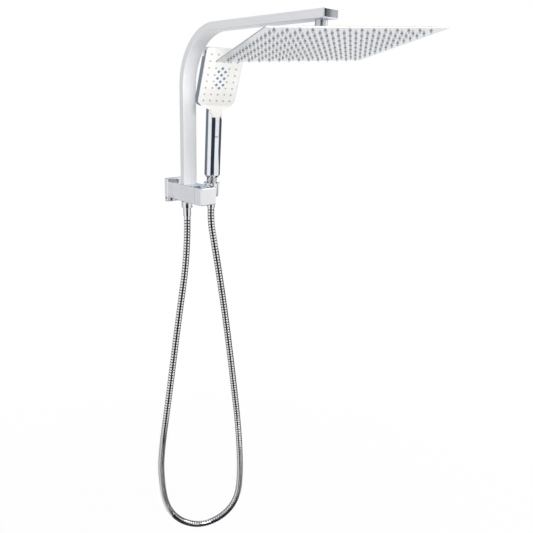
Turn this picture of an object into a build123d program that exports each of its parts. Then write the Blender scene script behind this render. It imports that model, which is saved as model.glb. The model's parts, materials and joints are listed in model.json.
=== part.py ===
from build123d import *
import math
import os

# Wall-hung rainfall shower column in chrome: a diverter body on a wall flange, a flat
# gooseneck arm with a slim square rain head on a ball joint, and a handset on a ribbed hose.
# The origin is the centre of the flange's back on the wall, on the water inlet's axis.
# -Y points out of the wall, +X to the right of someone who faces it, +Z up. Millimetres.

os.makedirs("parts", exist_ok=True)

# Wall flange and diverter body
FLANGE_W, FLANGE_H, FLANGE_T = 60, 56, 12
FLANGE_ROUND = 3
BODY_W, BODY_H = 42, 40
BODY_FRONT = 112
BODY_ROUND = 1.2
INLET_R = 9.5
INLET_DEPTH = 14
INLET_WASHER_R, INLET_WASHER_T = 10.5, 2
INLET_NECK_R = 13
PASSAGE_R = 6
PORT_R = 7
FLANGE_SCREW_Z = -19

# Grub screws with hexagon sockets, in the flange's side and under the knob
GRUB_R, GRUB_LENGTH, GRUB_SUNK = 2.5, 8, 0.5
GRUB_SOCKET_R, GRUB_SOCKET_DEPTH = 1.4, 3

# Square knob on the front of the body, and the cartridge behind it
KNOB_GAP = 0.5
KNOB_FRONT = 138
KNOB_ROUND = 3
KNOB_SCREW_Y = -BODY_FRONT - 8
SPINDLE_R, SPINDLE_END = 5, KNOB_FRONT - 12
SPINDLE_FOOT_R, SPINDLE_FOOT_T = 9, 5
CARTRIDGE_R, CARTRIDGE_BORE_R, CARTRIDGE_PORT_R = 15, 12.5, 8
CARTRIDGE_BACK = 80
SEAL_T, HOUSING_FLOOR, HOUSING_WALL = 2, 4, 17
DISC_T, DISC_PORT_R, DISC_PORT_AT = 3, 3.2, 7
TURN_GAP = 0.1

# Flat gooseneck arm
ARM_W, ARM_T, ARM_WALL, ARM_ROUND = 35, 16, 1.5, 1.5
COLUMN_Y = -58
ARM_TOP = 368
ARM_END = 490
BEND_R = 122
CAP_T, CAP_ROUND, CAP_TONGUE = 3, 1.2, 6
SPIGOT_H, SPIGOT_TAIL, SPIGOT_BORE_R = 24, 12, 4
COLUMN_SEAL_Z, COLUMN_SEAL_R, COLUMN_SEAL_T = BODY_H / 2 - 8, 5.6, 2.4
COLUMN_SCREW_R, COLUMN_SCREW_Z = 2, BODY_H / 2 + 12

# Rain head on its ball joint, photographed turned about its own axis and tilted forwards
HEAD_SIZE = 300
HEAD_YAW = -22.5
HEAD_TILT = -7.2
NOZZLE_ROWS = 14
NOZZLE_PITCH = 20
BALL_Y, BALL_Z, BALL_R = -467.2, 329, 8
NIPPLE_R, NIPPLE_LOW, NIPPLE_EDGE = 10.7, 338.5, 0.8
NIPPLE_TAIL_R, NIPPLE_TAIL = 8, 3
STEM_R, STEM_LENGTH, STEM_NECK_R, STEM_BORE_R = 6.5, 9, 4.2, 2.5
STEM_WASHER_T, STEM_WASHER_BORE_R = 2, 5
PLATE_BOTTOM = -21.5
SHEET_T = 1.2

# Holder cup beside the body, leaning forwards, and the handset that stands in it
HOLDER_X, HOLDER_Y, HOLDER_LEAN = 40, -93, 3.3
HOLDER_TOP, HOLDER_BOTTOM = 24.5, -7
HOLDER_SCREW_R, HOLDER_SCREW_HEAD_R, HOLDER_SCREW_Z = 2, 3.6, 6
HOLDER_SCREW_GRIP, HOLDER_SCREW_SEAT, HOLDER_SCREW_HEAD = 4, BODY_W / 2 + 4.5, 2
HANDSET_YAW = -16
HANDLE_R, HANDLE_BOTTOM = 18, 37.5
FACE_FRONT, FACE_Z, FACE_LEAN = 36.1, 260, 25
FACE_UP, FACE_DOWN, FACE_HALF = 68, 66, 41.4
HANDSET_THICK = 20
CHIN_Z = 175
BUTTON_W, BUTTON_L, BUTTON_Z, BUTTON_ROUND = 12, 36, 149, 4
SPRAY_PITCH = 15.4

# Hose: one hanging loop from the body's underside to the handset
HOSE_R, HOSE_GROOVE_R, HOSE_BORE_R = 8, 7.1, 4.5
HOSE_RIBS = 120
OUTLET_Y = -50
FERRULE_R, FERRULE_EDGE = 9.1, 0.6
FERRULE_END = -59.5
UPPER_FERRULE_END = -36


def leaning_plane(height=0, yaw=0):
    """Plane square to the holder's axis, at a height along that axis, turned by yaw."""
    lean = math.radians(HOLDER_LEAN)
    axis = Vector(0, -math.sin(lean), math.cos(lean))
    turn = math.radians(yaw)
    across = Vector(math.cos(turn), math.sin(turn) * math.cos(lean), math.sin(turn) * math.sin(lean))
    return Plane(origin=(HOLDER_X, HOLDER_Y, 0), x_dir=across, z_dir=axis).offset(height)


def head_plane(height=0):
    """Plane square to the rain head's axis, at a height over the ball's centre."""
    tilt = math.radians(HEAD_TILT)
    yaw = math.radians(HEAD_YAW)
    normal = Vector(0, -math.sin(tilt), math.cos(tilt))
    across = Vector(math.cos(yaw), math.sin(yaw) * math.cos(tilt), math.sin(yaw) * math.sin(tilt))
    return Plane(origin=(0, BALL_Y, BALL_Z), x_dir=across, z_dir=normal).offset(height)


# Wall flange: cast square plate with rounded front edges, bored for the inlet neck
with BuildPart() as wall_flange:
    with BuildSketch(Plane.XZ):
        RectangleRounded(FLANGE_W, FLANGE_H, FLANGE_ROUND)
        Circle(INLET_NECK_R, mode=Mode.SUBTRACT)
    extrude(amount=FLANGE_T)
    rim = wall_flange.edges().group_by(Axis.Y)[0].filter_by(GeomType.CIRCLE, reverse=True)
    fillet(rim, FLANGE_ROUND - 0.5)
    with Locations(Plane((-FLANGE_W / 2, -FLANGE_T / 2, FLANGE_SCREW_Z), x_dir=(0, 1, 0), z_dir=(-1, 0, 0))):
        Hole(GRUB_R, depth=GRUB_LENGTH)

# Grub screw in the flange's side, with its hexagon socket
with BuildPart() as flange_grub_screw:
    screw_mouth = (-FLANGE_W / 2 + GRUB_SUNK, -FLANGE_T / 2, FLANGE_SCREW_Z)
    with BuildSketch(Plane(screw_mouth, x_dir=(0, 1, 0), z_dir=(1, 0, 0))):
        Circle(GRUB_R)
    extrude(amount=GRUB_LENGTH - GRUB_SUNK)
    with BuildSketch(Plane(screw_mouth, x_dir=(0, 1, 0), z_dir=(1, 0, 0))):
        RegularPolygon(GRUB_SOCKET_R, 6)
    extrude(amount=GRUB_SOCKET_DEPTH, mode=Mode.SUBTRACT)

# Diverter body: square brass bar, bored for the inlet, the two outlets and the cartridge
with BuildPart() as diverter_body:
    with BuildSketch(Plane.XZ.offset(FLANGE_T)):
        Rectangle(BODY_W, BODY_H)
    extrude(amount=BODY_FRONT - FLANGE_T)
    fillet(diverter_body.edges().filter_by(Axis.Y), BODY_ROUND)
    with BuildSketch(Plane.XZ):
        Circle(INLET_NECK_R)
    extrude(amount=FLANGE_T)
    with Locations(Plane((0, 0, 0), x_dir=(1, 0, 0), z_dir=(0, 1, 0))):
        CounterBoreHole(PASSAGE_R, INLET_R, INLET_DEPTH, depth=CARTRIDGE_BACK)
    with BuildSketch(Plane.XZ.offset(INLET_DEPTH)):
        Circle(INLET_WASHER_R)
    extrude(amount=INLET_WASHER_T, mode=Mode.SUBTRACT)
    with Locations(Plane((0, -BODY_FRONT, 0), x_dir=(1, 0, 0), z_dir=(0, -1, 0))):
        Hole(CARTRIDGE_R, depth=BODY_FRONT - CARTRIDGE_BACK)
    with Locations((0, COLUMN_Y, BODY_H / 2)):
        Hole(PORT_R, depth=BODY_H / 2)
    with Locations(Plane((0, OUTLET_Y, -BODY_H / 2), x_dir=(1, 0, 0), z_dir=(0, 0, -1))):
        Hole(PORT_R, depth=BODY_H / 2)
    with Locations(Plane((BODY_W / 2, HOLDER_Y, HOLDER_SCREW_Z), x_dir=(0, 1, 0), z_dir=(1, 0, 0))):
        Hole(HOLDER_SCREW_R, depth=HOLDER_SCREW_GRIP)

# Inlet washer in a groove at the bottom of the inlet's thread
with BuildPart() as inlet_washer:
    with BuildSketch(Plane.XZ.offset(INLET_DEPTH)):
        Circle(INLET_WASHER_R)
        Circle(PASSAGE_R, mode=Mode.SUBTRACT)
    extrude(amount=INLET_WASHER_T)

# Diverter cartridge: housing with a seal at its back and a ported disc at its front
with BuildPart() as cartridge_seal:
    with BuildSketch(Plane.XZ.offset(CARTRIDGE_BACK)):
        Circle(CARTRIDGE_R)
        Circle(CARTRIDGE_PORT_R, mode=Mode.SUBTRACT)
    extrude(amount=SEAL_T)

disc_seat = CARTRIDGE_BACK + SEAL_T + HOUSING_FLOOR
foot_seat = disc_seat + 2 * DISC_T
nut_seat = disc_seat + HOUSING_WALL
with BuildPart() as cartridge_housing:
    with BuildSketch(Plane.XZ.offset(CARTRIDGE_BACK + SEAL_T)):
        Circle(CARTRIDGE_R)
        Circle(CARTRIDGE_PORT_R, mode=Mode.SUBTRACT)
    extrude(amount=HOUSING_FLOOR)
    with BuildSketch(Plane.XZ.offset(disc_seat)):
        Circle(CARTRIDGE_R)
        Circle(CARTRIDGE_BORE_R, mode=Mode.SUBTRACT)
    extrude(amount=HOUSING_WALL)

with BuildPart() as fixed_disc:
    with BuildSketch(Plane.XZ.offset(disc_seat)):
        Circle(CARTRIDGE_BORE_R)
        with PolarLocations(DISC_PORT_AT, 2):
            Circle(DISC_PORT_R, mode=Mode.SUBTRACT)
    extrude(amount=DISC_T)

with BuildPart() as moving_disc:
    with BuildSketch(Plane.XZ.offset(disc_seat + DISC_T)):
        Circle(CARTRIDGE_BORE_R - TURN_GAP)
        with Locations((0, DISC_PORT_AT)):
            SlotOverall(12, 2 * DISC_PORT_R, mode=Mode.SUBTRACT)
    extrude(amount=DISC_T)

# Spindle with a foot on the moving disc and a shank in the knob
with BuildPart() as diverter_spindle:
    with BuildSketch(Plane.XZ.offset(foot_seat)):
        Circle(SPINDLE_FOOT_R)
    extrude(amount=SPINDLE_FOOT_T)
    with BuildSketch(Plane.XZ.offset(foot_seat + SPINDLE_FOOT_T)):
        Circle(SPINDLE_R)
    extrude(amount=SPINDLE_END - foot_seat - SPINDLE_FOOT_T)

# Retaining nut, screwed into the body's mouth, with two spanner notches
NUT_NOTCH_W, NUT_NOTCH_DEPTH = 4, 3
with BuildPart() as cartridge_nut:
    with BuildSketch(Plane.XZ.offset(nut_seat)):
        Circle(CARTRIDGE_R)
        Circle(SPINDLE_R + TURN_GAP, mode=Mode.SUBTRACT)
    extrude(amount=BODY_FRONT - KNOB_GAP - nut_seat)
    with BuildSketch(Plane.XZ.offset(BODY_FRONT - NUT_NOTCH_DEPTH)):
        with PolarLocations(CARTRIDGE_BORE_R, 2):
            Rectangle(2 * (CARTRIDGE_R - CARTRIDGE_BORE_R) + 1, NUT_NOTCH_W)
    extrude(amount=NUT_NOTCH_DEPTH, mode=Mode.SUBTRACT)

# Knob: square block that carries on the body's section, with a blind bore for the spindle
with BuildPart() as diverter_knob:
    with BuildSketch(Plane.XZ.offset(BODY_FRONT + KNOB_GAP)):
        Rectangle(BODY_W, BODY_H)
    extrude(amount=KNOB_FRONT - BODY_FRONT - KNOB_GAP)
    fillet(diverter_knob.edges().filter_by(Axis.Y), BODY_ROUND)
    fillet(diverter_knob.faces().sort_by(Axis.Y)[0].edges(), KNOB_ROUND)
    with Locations(Plane((0, -BODY_FRONT - KNOB_GAP, 0), x_dir=(1, 0, 0), z_dir=(0, 1, 0))):
        Hole(SPINDLE_R, depth=SPINDLE_END - BODY_FRONT - KNOB_GAP)
    with Locations(Plane((0, KNOB_SCREW_Y, -BODY_H / 2), x_dir=(1, 0, 0), z_dir=(0, 0, -1))):
        Hole(GRUB_R, depth=BODY_H / 2 - SPINDLE_R + 1)

with BuildPart() as knob_grub_screw:
    with BuildSketch(Plane((0, KNOB_SCREW_Y, -SPINDLE_R), x_dir=(1, 0, 0), z_dir=(0, 0, -1))):
        Circle(GRUB_R)
    extrude(amount=GRUB_LENGTH)
    with BuildSketch(Plane((0, KNOB_SCREW_Y, -SPINDLE_R - GRUB_LENGTH), x_dir=(1, 0, 0), z_dir=(0, 0, 1))):
        RegularPolygon(GRUB_SOCKET_R, 6)
    extrude(amount=GRUB_SOCKET_DEPTH, mode=Mode.SUBTRACT)

# Spigot that the column is pushed over: a round tail in the body, a flat block in the tube
with BuildPart() as column_spigot:
    with BuildSketch(Plane((0, COLUMN_Y, BODY_H / 2))):
        Rectangle(ARM_W - 2 * ARM_WALL, ARM_T - 2 * ARM_WALL)
    extrude(amount=SPIGOT_H)
    with BuildSketch(Plane((0, COLUMN_Y, BODY_H / 2 - SPIGOT_TAIL))):
        Circle(PORT_R)
    extrude(amount=SPIGOT_TAIL)
    with Locations((0, COLUMN_Y, BODY_H / 2 + SPIGOT_H)):
        Hole(SPIGOT_BORE_R, depth=SPIGOT_H + SPIGOT_TAIL)
    with BuildSketch(Plane((0, COLUMN_Y, COLUMN_SEAL_Z))):
        Circle(PORT_R)
        Circle(COLUMN_SEAL_R, mode=Mode.SUBTRACT)
    extrude(amount=COLUMN_SEAL_T, mode=Mode.SUBTRACT)

with BuildPart() as column_seal:
    with BuildSketch(Plane((0, COLUMN_Y, COLUMN_SEAL_Z))):
        Circle(PORT_R)
        Circle(COLUMN_SEAL_R, mode=Mode.SUBTRACT)
    extrude(amount=COLUMN_SEAL_T)

# Gooseneck: flat brass tube that rises, bends forwards and runs out level
ARM_AXIS_Z = ARM_TOP - ARM_T / 2
with BuildPart() as column_arm:
    with BuildLine(Plane.YZ) as arm_path:
        Line((COLUMN_Y, BODY_H / 2), (COLUMN_Y, ARM_AXIS_Z - BEND_R))
        RadiusArc((COLUMN_Y, ARM_AXIS_Z - BEND_R), (COLUMN_Y - BEND_R, ARM_AXIS_Z), -BEND_R)
        Line((COLUMN_Y - BEND_R, ARM_AXIS_Z), (CAP_T - ARM_END, ARM_AXIS_Z))
    with BuildSketch(Plane((0, COLUMN_Y, BODY_H / 2))):
        RectangleRounded(ARM_W, ARM_T, ARM_ROUND)
        Rectangle(ARM_W - 2 * ARM_WALL, ARM_T - 2 * ARM_WALL, mode=Mode.SUBTRACT)
    sweep(path=arm_path.line)
    with Locations(Plane((0, BALL_Y, ARM_TOP - ARM_T), x_dir=(1, 0, 0), z_dir=(0, 0, -1))):
        Hole(NIPPLE_TAIL_R, depth=ARM_WALL + 1)
    with Locations(Plane((0, COLUMN_Y + ARM_T / 2, COLUMN_SCREW_Z), x_dir=(1, 0, 0), z_dir=(0, 1, 0))):
        Hole(COLUMN_SCREW_R, depth=ARM_WALL + 0.5)

# Set screw through the back of the column against the spigot
with BuildPart() as column_fixing_screw:
    screw_seat = (0, COLUMN_Y + ARM_T / 2 - ARM_WALL, COLUMN_SCREW_Z)
    with BuildSketch(Plane(screw_seat, x_dir=(1, 0, 0), z_dir=(0, 1, 0))):
        Circle(COLUMN_SCREW_R)
        RegularPolygon(1.1, 6, mode=Mode.SUBTRACT)
    extrude(amount=ARM_WALL - 0.1)

# End cap pressed into the arm's mouth
with BuildPart() as arm_end_cap:
    with BuildSketch(Plane((0, CAP_T - ARM_END, ARM_AXIS_Z), x_dir=(1, 0, 0), z_dir=(0, -1, 0))):
        RectangleRounded(ARM_W, ARM_T, ARM_ROUND)
    extrude(amount=CAP_T)
    fillet(arm_end_cap.faces().sort_by(Axis.Y)[0].edges(), CAP_ROUND)
    with BuildSketch(Plane((0, CAP_T - ARM_END, ARM_AXIS_Z), x_dir=(1, 0, 0), z_dir=(0, 1, 0))):
        Rectangle(ARM_W - 2 * ARM_WALL, ARM_T - 2 * ARM_WALL)
    extrude(amount=CAP_TONGUE)

# Outlet nipple brazed into the arm's underside
with BuildPart() as arm_outlet_nipple:
    with BuildSketch(Plane.YZ):
        with BuildLine():
            Polyline(
                (BALL_Y, NIPPLE_LOW), (BALL_Y + NIPPLE_R - NIPPLE_EDGE, NIPPLE_LOW),
                (BALL_Y + NIPPLE_R, NIPPLE_LOW + NIPPLE_EDGE), (BALL_Y + NIPPLE_R, ARM_TOP - ARM_T),
                (BALL_Y + NIPPLE_TAIL_R, ARM_TOP - ARM_T),
                (BALL_Y + NIPPLE_TAIL_R, ARM_TOP - ARM_T + NIPPLE_TAIL),
                (BALL_Y, ARM_TOP - ARM_T + NIPPLE_TAIL), close=True,
            )
        make_face()
    revolve(axis=Axis((0, BALL_Y, 0), (0, 0, 1)))
    with Locations(Plane((0, BALL_Y, NIPPLE_LOW), x_dir=(1, 0, 0), z_dir=(0, 0, -1))):
        CounterBoreHole(STEM_WASHER_BORE_R, STEM_R, STEM_LENGTH + STEM_WASHER_T)

# Ball stem: threaded shank in the nipple, narrow neck and ball, bored for the water
with BuildPart() as ball_stem:
    with Locations((0, BALL_Y, BALL_Z)):
        Sphere(BALL_R)
    with BuildSketch(Plane((0, BALL_Y, BALL_Z))):
        Circle(STEM_NECK_R)
    extrude(amount=NIPPLE_LOW + 1 - BALL_Z)
    with BuildSketch(Plane((0, BALL_Y, NIPPLE_LOW))):
        Circle(STEM_R)
    extrude(amount=STEM_LENGTH)
    with Locations((0, BALL_Y, NIPPLE_LOW + STEM_LENGTH)):
        Hole(STEM_BORE_R, depth=30)

with BuildPart() as ball_stem_washer:
    with BuildSketch(Plane((0, BALL_Y, NIPPLE_LOW + STEM_LENGTH))):
        Circle(STEM_R)
        Circle(STEM_WASHER_BORE_R, mode=Mode.SUBTRACT)
    extrude(amount=STEM_WASHER_T)

# Nylon seat ring under the ball
SEAT_LOW, SEAT_H, SEAT_R, SEAT_BORE_R = -8.2, 4.2, 7.4, 3.5
with BuildPart() as ball_seat_ring:
    with BuildSketch(head_plane(SEAT_LOW)):
        Circle(SEAT_R)
        Circle(SEAT_BORE_R, mode=Mode.SUBTRACT)
    extrude(amount=SEAT_H)
    with Locations(head_plane()):
        Sphere(BALL_R + TURN_GAP, mode=Mode.SUBTRACT)

# Boss on the rain head: threaded cup for the ball joint with a foot on the plate
BOSS_FOOT = PLATE_BOTTOM + 5
BOSS_FOOT_R, BOSS_FOOT_T, BOSS_R, BOSS_BORE_R = 21, 2.5, 11, 4
CUP_R, CUP_LOW = 8.4, -8.6
with BuildPart() as rain_head_boss:
    with BuildSketch(head_plane(BOSS_FOOT)):
        Circle(BOSS_FOOT_R)
    extrude(amount=BOSS_FOOT_T)
    with BuildSketch(head_plane(BOSS_FOOT + BOSS_FOOT_T)):
        Circle(BOSS_R)
    extrude(amount=-BOSS_FOOT - BOSS_FOOT_T)
    with BuildSketch(head_plane(CUP_LOW)):
        Circle(CUP_R)
    extrude(amount=1 - CUP_LOW, mode=Mode.SUBTRACT)
    with BuildSketch(head_plane(BOSS_FOOT)):
        Circle(BOSS_BORE_R)
    extrude(amount=CUP_LOW - BOSS_FOOT + 1, mode=Mode.SUBTRACT)

# Swivel collar: nut on the boss whose lip holds the ball down
COLLAR_R, COLLAR_LOW, COLLAR_TOP, COLLAR_EDGE = 14, -9, 5.5, 1.5
LIP_R, LIP_LOW = 7.55, 3.2
with BuildPart() as swivel_collar:
    with BuildSketch(head_plane(COLLAR_LOW)):
        Circle(COLLAR_R)
    extrude(amount=COLLAR_TOP - COLLAR_LOW)
    chamfer(swivel_collar.edges().group_by(Axis.Z)[-1], COLLAR_EDGE)
    with BuildSketch(head_plane(COLLAR_LOW)):
        Circle(BOSS_R)
    extrude(amount=-COLLAR_LOW, mode=Mode.SUBTRACT)
    with BuildSketch(head_plane()):
        Circle(CUP_R)
    extrude(amount=LIP_LOW, mode=Mode.SUBTRACT)
    with BuildSketch(head_plane(LIP_LOW)):
        Circle(LIP_R)
    extrude(amount=COLLAR_TOP - LIP_LOW, mode=Mode.SUBTRACT)

# Rain head: pressed top sheet with a raised water chamber, welded to the face sheet
CHAMBER_EDGE, CHAMBER_H, CHAMBER_SLOPE, CHAMBER_CORNER = 14, 2, 60, 8
HEAD_CORNER, RIM_T = 3, 0.8
rim_top = PLATE_BOTTOM + SHEET_T + RIM_T
with BuildPart() as rain_head_top_plate:
    with BuildSketch(head_plane(PLATE_BOTTOM + SHEET_T)):
        RectangleRounded(HEAD_SIZE, HEAD_SIZE, HEAD_CORNER)
    extrude(amount=RIM_T)
    with BuildSketch(head_plane(rim_top)):
        RectangleRounded(HEAD_SIZE - CHAMBER_EDGE, HEAD_SIZE - CHAMBER_EDGE, CHAMBER_CORNER)
    extrude(amount=BOSS_FOOT - rim_top, taper=CHAMBER_SLOPE)
    with BuildSketch(head_plane(PLATE_BOTTOM + SHEET_T)):
        RectangleRounded(HEAD_SIZE - 2 * CHAMBER_EDGE, HEAD_SIZE - 2 * CHAMBER_EDGE, CHAMBER_CORNER)
    extrude(amount=CHAMBER_H, mode=Mode.SUBTRACT)
    with Locations(head_plane(BOSS_FOOT)):
        Hole(BOSS_BORE_R, depth=BOSS_FOOT - PLATE_BOTTOM)

with BuildPart() as rain_head_face_plate:
    with BuildSketch(head_plane(PLATE_BOTTOM)):
        RectangleRounded(HEAD_SIZE, HEAD_SIZE, HEAD_CORNER)
    extrude(amount=SHEET_T)

# Silicone nozzles in a square field, each a short six-sided cone
NOZZLE_BASE_R, NOZZLE_TIP_R, NOZZLE_LENGTH = 2.9, 1.5, 4.5
with BuildPart() as rain_nozzles:
    with BuildSketch(head_plane(PLATE_BOTTOM)):
        with GridLocations(NOZZLE_PITCH, NOZZLE_PITCH, NOZZLE_ROWS, NOZZLE_ROWS):
            RegularPolygon(NOZZLE_BASE_R, 6)
    extrude(
        amount=-NOZZLE_LENGTH,
        taper=math.degrees(math.atan2(NOZZLE_BASE_R - NOZZLE_TIP_R, NOZZLE_LENGTH)),
    )

# Conical hose nut: plain neck under the handle, cone in the holder
NUT_TOP_R, NUT_LOW_R, NUT_LOW = 12, 9.9, -14
NUT_FLOOR, NUT_THREAD_R, NUT_BORE_R, NUT_HOLE_R = 5, 10.5, 8.7, 7.5
WASHER_SEAT, WASHER_T = 22, 2
FIT_GAP = 0.3
with BuildPart() as hose_cone_nut:
    with BuildSketch(leaning_plane(HOLDER_TOP + 1)):
        Circle(NUT_TOP_R)
    extrude(amount=HANDLE_BOTTOM - HOLDER_TOP - 1)
    with BuildSketch(leaning_plane(NUT_LOW)):
        Circle(NUT_LOW_R)
    with BuildSketch(leaning_plane(HOLDER_TOP + 1)):
        Circle(NUT_TOP_R)
    loft()
    with BuildSketch(leaning_plane(WASHER_SEAT)):
        Circle(NUT_THREAD_R)
    extrude(amount=HANDLE_BOTTOM - WASHER_SEAT, mode=Mode.SUBTRACT)
    with BuildSketch(leaning_plane(NUT_LOW + NUT_FLOOR)):
        Circle(NUT_BORE_R)
    extrude(amount=WASHER_SEAT - NUT_LOW - NUT_FLOOR, mode=Mode.SUBTRACT)
    with BuildSketch(leaning_plane(NUT_LOW)):
        Circle(NUT_HOLE_R)
    extrude(amount=NUT_FLOOR + 1, mode=Mode.SUBTRACT)

# Holder: cup with a conical seat and a side slot for the hose, on an arm from the body
HOLDER_TOP_R, HOLDER_LOW_R = 18.7, 17.4
HOLDER_ARM_W, HOLDER_ARM_H, HOLDER_ARM_Z, HOLDER_ARM_ROUND = 24, 23, 7.5, 3
SLOT_W, SLOT_YAW = 17, 10
nut_slope = (NUT_TOP_R - NUT_LOW_R) / (HOLDER_TOP + 1 - NUT_LOW)
seat_low = NUT_LOW - 4
with BuildPart() as handset_holder:
    with BuildSketch(leaning_plane(HOLDER_BOTTOM)):
        Circle(HOLDER_LOW_R)
    with BuildSketch(leaning_plane(HOLDER_TOP)):
        Circle(HOLDER_TOP_R)
    loft()
    with BuildSketch(Plane((BODY_W / 2, HOLDER_Y, HOLDER_ARM_Z), x_dir=(0, 1, 0), z_dir=(1, 0, 0))):
        RectangleRounded(HOLDER_ARM_W, HOLDER_ARM_H, HOLDER_ARM_ROUND)
    extrude(amount=HOLDER_X - BODY_W / 2)
    with BuildSketch(leaning_plane(seat_low)):
        Circle(NUT_LOW_R + nut_slope * (seat_low - NUT_LOW) + FIT_GAP)
    with BuildSketch(leaning_plane(HOLDER_TOP + 1)):
        Circle(NUT_TOP_R + FIT_GAP)
    loft(mode=Mode.SUBTRACT)
    with BuildSketch(leaning_plane(seat_low, yaw=SLOT_YAW)):
        with Locations((HOLDER_TOP_R, 0)):
            Rectangle(2 * HOLDER_TOP_R, SLOT_W)
    extrude(amount=HOLDER_TOP - seat_low + 4, mode=Mode.SUBTRACT)
    with BuildSketch(Plane((BODY_W / 2, HOLDER_Y, HOLDER_SCREW_Z), x_dir=(0, 1, 0), z_dir=(1, 0, 0))):
        Circle(HOLDER_SCREW_R)
    extrude(amount=HOLDER_X - BODY_W / 2, mode=Mode.SUBTRACT)
    with BuildSketch(Plane((HOLDER_SCREW_SEAT, HOLDER_Y, HOLDER_SCREW_Z), x_dir=(0, 1, 0), z_dir=(1, 0, 0))):
        Circle(HOLDER_SCREW_HEAD_R)
    extrude(amount=HOLDER_X - HOLDER_SCREW_SEAT, mode=Mode.SUBTRACT)

# Screw through the cup's inner wall into the body
with BuildPart() as holder_screw:
    screw_tip = (BODY_W / 2 - HOLDER_SCREW_GRIP, HOLDER_Y, HOLDER_SCREW_Z)
    with BuildSketch(Plane(screw_tip, x_dir=(0, 1, 0), z_dir=(1, 0, 0))):
        Circle(HOLDER_SCREW_R)
    extrude(amount=HOLDER_SCREW_SEAT - screw_tip[0])
    with BuildSketch(Plane((HOLDER_SCREW_SEAT, HOLDER_Y, HOLDER_SCREW_Z), x_dir=(0, 1, 0), z_dir=(1, 0, 0))):
        Circle(HOLDER_SCREW_HEAD_R)
        RegularPolygon(GRUB_SOCKET_R, 6, mode=Mode.SUBTRACT)
    extrude(amount=HOLDER_SCREW_HEAD)

# Hose outlet under the body: threaded nipple, washer, round nut and the hose's lower ferrule
OUTLET_THREAD_R = 10.4
OUTLET_NUT_R, OUTLET_NUT_EDGE = 12.85, 0.8
OUTLET_NUT_LOW, OUTLET_NUT_TOP, OUTLET_NUT_FLOOR = -38.4, -23, 2.4
OUTLET_NIPPLE, OUTLET_TAIL, OUTLET_BORE_R = 11, 10, 5
OUTLET_COLLAR_T, OUTLET_NECK_R = 3, 7.5
washer_top = -BODY_H / 2 - OUTLET_NIPPLE
with BuildPart() as hose_outlet_nipple:
    with BuildSketch(Plane((0, OUTLET_Y, -BODY_H / 2))):
        Circle(OUTLET_THREAD_R)
    extrude(amount=-OUTLET_NIPPLE)
    with BuildSketch(Plane((0, OUTLET_Y, -BODY_H / 2))):
        Circle(PORT_R)
    extrude(amount=OUTLET_TAIL)
    with Locations((0, OUTLET_Y, -BODY_H / 2 + OUTLET_TAIL)):
        Hole(OUTLET_BORE_R, depth=OUTLET_TAIL + OUTLET_NIPPLE)

with BuildPart() as hose_outlet_washer:
    with BuildSketch(Plane((0, OUTLET_Y, washer_top))):
        Circle(OUTLET_THREAD_R)
        Circle(OUTLET_BORE_R, mode=Mode.SUBTRACT)
    extrude(amount=-WASHER_T)

with BuildPart() as hose_outlet_nut:
    with BuildSketch(Plane((0, OUTLET_Y, OUTLET_NUT_LOW))):
        Circle(OUTLET_NUT_R)
    extrude(amount=OUTLET_NUT_TOP - OUTLET_NUT_LOW)
    chamfer(hose_outlet_nut.edges(), OUTLET_NUT_EDGE)
    with BuildSketch(Plane((0, OUTLET_Y, OUTLET_NUT_LOW + OUTLET_NUT_FLOOR))):
        Circle(OUTLET_THREAD_R)
    extrude(amount=OUTLET_NUT_TOP - OUTLET_NUT_LOW, mode=Mode.SUBTRACT)
    with BuildSketch(Plane((0, OUTLET_Y, OUTLET_NUT_LOW))):
        Circle(OUTLET_NECK_R)
    extrude(amount=OUTLET_NUT_FLOOR + 1, mode=Mode.SUBTRACT)

with BuildPart() as hose_ferrule_lower:
    with BuildSketch(Plane((0, OUTLET_Y, FERRULE_END))):
        Circle(FERRULE_R)
    extrude(amount=OUTLET_NUT_LOW - FERRULE_END)
    chamfer(hose_ferrule_lower.edges().group_by(Axis.Z)[0], FERRULE_EDGE)
    with BuildSketch(Plane((0, OUTLET_Y, OUTLET_NUT_LOW))):
        Circle(OUTLET_NECK_R)
    extrude(amount=OUTLET_NUT_FLOOR)
    with BuildSketch(Plane((0, OUTLET_Y, OUTLET_NUT_LOW + OUTLET_NUT_FLOOR))):
        Circle(OUTLET_THREAD_R - FIT_GAP)
    extrude(amount=OUTLET_COLLAR_T)
    with Locations((0, OUTLET_Y, OUTLET_NUT_LOW + OUTLET_NUT_FLOOR + OUTLET_COLLAR_T)):
        Hole(HOSE_BORE_R, depth=40)

# Upper ferrule: its collar turns inside the conical nut, its sleeve holds the hose
with BuildPart() as hose_ferrule_upper:
    with BuildSketch(leaning_plane(UPPER_FERRULE_END)):
        Circle(FERRULE_R)
    extrude(amount=NUT_LOW - FIT_GAP - UPPER_FERRULE_END)
    chamfer(hose_ferrule_upper.edges().group_by(Axis.Z)[0], FERRULE_EDGE)
    with BuildSketch(leaning_plane(NUT_LOW - FIT_GAP)):
        Circle(NUT_HOLE_R - TURN_GAP)
    extrude(amount=WASHER_SEAT - NUT_LOW)
    with BuildSketch(leaning_plane(NUT_LOW + NUT_FLOOR + FIT_GAP)):
        Circle(NUT_BORE_R - TURN_GAP)
    extrude(amount=OUTLET_COLLAR_T)
    with Locations(leaning_plane(WASHER_SEAT - FIT_GAP)):
        Hole(HOSE_BORE_R, depth=60)

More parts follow.
